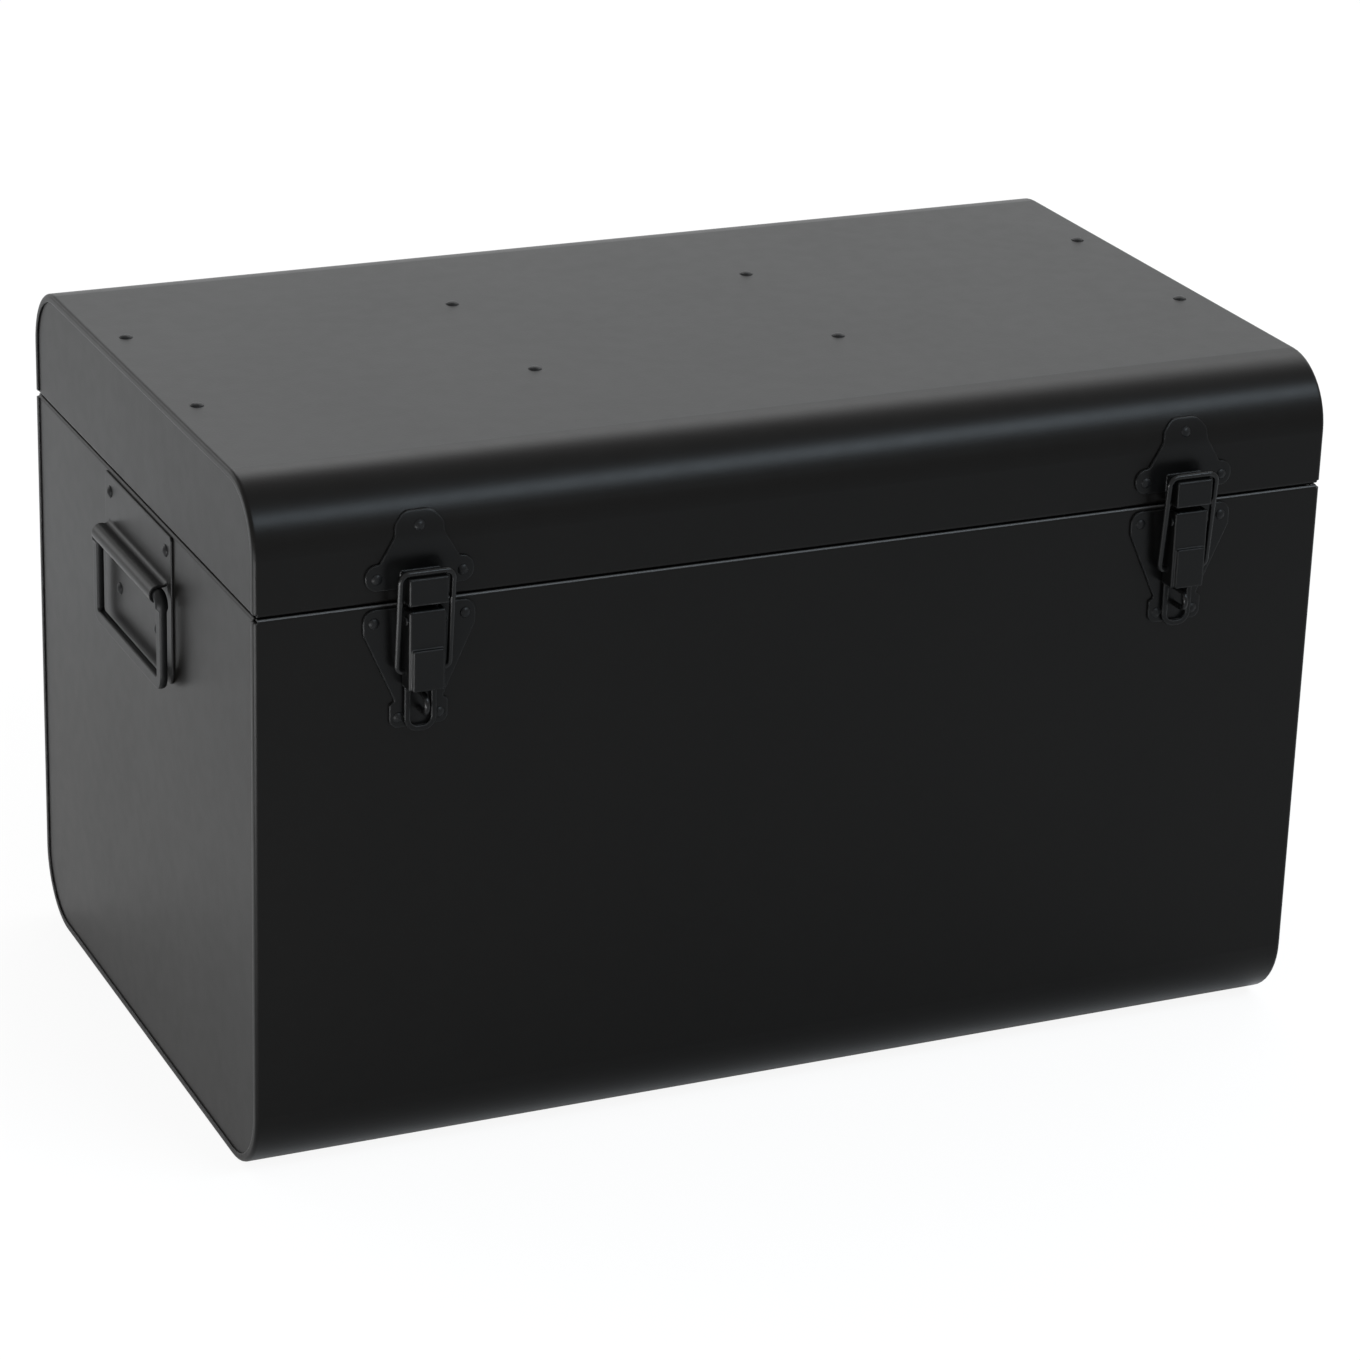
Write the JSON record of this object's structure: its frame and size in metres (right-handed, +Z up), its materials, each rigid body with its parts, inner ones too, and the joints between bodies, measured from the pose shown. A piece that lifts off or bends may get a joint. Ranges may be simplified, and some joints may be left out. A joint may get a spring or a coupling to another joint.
{
  "type": "storage chest",
  "caption": "Black sheet-metal storage chest with a hinged round-edged lid, draw latches with padlock staples on its front and a drop handle at each end.",
  "frame": {"origin": "centre of the flat underside, on the floor", "axes": "+X to the right along the front, -Y out of the front with the latches, +Z up"},
  "size_m": [0.6204, 0.3892, 0.3775],
  "materials": {
    "body_paint": "satin",
    "fittings_paint": "satin"
  },
  "bodies": {
    "base": {"base_end_left": "body_paint", "base_end_right": "body_paint", "base_rim": "body_paint", "base_wrap": "body_paint", "handle_plate_left": "fittings_paint", "handle_plate_right": "fittings_paint", "handle_rivets": "fittings_paint", "hinge_base_leaf_left": "fittings_paint", "hinge_base_leaf_right": "fittings_paint", "hinge_base_rivets": "fittings_paint", "hinge_pin_left": "fittings_paint", "hinge_pin_right": "fittings_paint", "latch_pin_left": "fittings_paint", "latch_pin_right": "fittings_paint", "latch_plate_left": "fittings_paint", "latch_plate_right": "fittings_paint", "latch_plate_rivets": "fittings_paint", "padlock_staple_left": "fittings_paint", "padlock_staple_right": "fittings_paint"},
    "lid": {"catch_plate_left": "fittings_paint", "catch_plate_right": "fittings_paint", "catch_rivets": "fittings_paint", "hinge_lid_leaf_left": "fittings_paint", "hinge_lid_leaf_right": "fittings_paint", "hinge_lid_rivets": "fittings_paint", "lid_end_left": "body_paint", "lid_end_right": "body_paint", "lid_rail_front": "body_paint", "lid_rail_rear": "body_paint", "lid_rivets": "fittings_paint", "lid_wrap": "body_paint"},
    "handle_left": {"handle_loop_left": "fittings_paint"},
    "handle_right": {"handle_loop_right": "fittings_paint"},
    "bail_left": {"latch_bail_left": "fittings_paint"},
    "bail_right": {"latch_bail_right": "fittings_paint"},
    "lever_left": {"latch_lever_left": "fittings_paint"},
    "lever_right": {"latch_lever_right": "fittings_paint"}
  },
  "joints": [
    {"name": "lid_hinge", "type": "hinge", "parent": "base", "child": "lid", "pos_m": [0, 0.187, 0.3104], "axis": [-1, 0, 0], "range_deg": [0, 105]},
    {"name": "lever_left_pivot", "type": "hinge", "parent": "base", "child": "lever_left", "pos_m": [-0.2145, -0.193, 0.3035], "axis": [-1, 0, 0], "range_deg": [0, 90]},
    {"name": "bail_left_pivot", "type": "hinge", "parent": "lever_left", "child": "bail_left", "pos_m": [-0.2145, -0.1903, 0.276], "axis": [-1, 0, 0], "range_deg": [-67.5, 0]},
    {"name": "handle_left_pivot", "type": "hinge", "parent": "base", "child": "handle_left", "pos_m": [-0.3052, 0, 0.2758], "axis": [0, 1, 0], "range_deg": [0, 170]},
    {"name": "lever_right_pivot", "type": "hinge", "parent": "base", "child": "lever_right", "pos_m": [0.2145, -0.193, 0.3035], "axis": [-1, 0, 0], "range_deg": [0, 90]},
    {"name": "bail_right_pivot", "type": "hinge", "parent": "lever_right", "child": "bail_right", "pos_m": [0.2145, -0.1903, 0.276], "axis": [-1, 0, 0], "range_deg": [-67.5, 0]},
    {"name": "handle_right_pivot", "type": "hinge", "parent": "base", "child": "handle_right", "pos_m": [0.3052, 0, 0.2758], "axis": [0, -1, 0], "range_deg": [0, 170]}
  ],
  "couplings": [
    {"joint": "bail_left_pivot", "follows": "lever_left_pivot", "ratio": -0.75},
    {"joint": "bail_right_pivot", "follows": "lever_right_pivot", "ratio": -0.75}
  ]
}
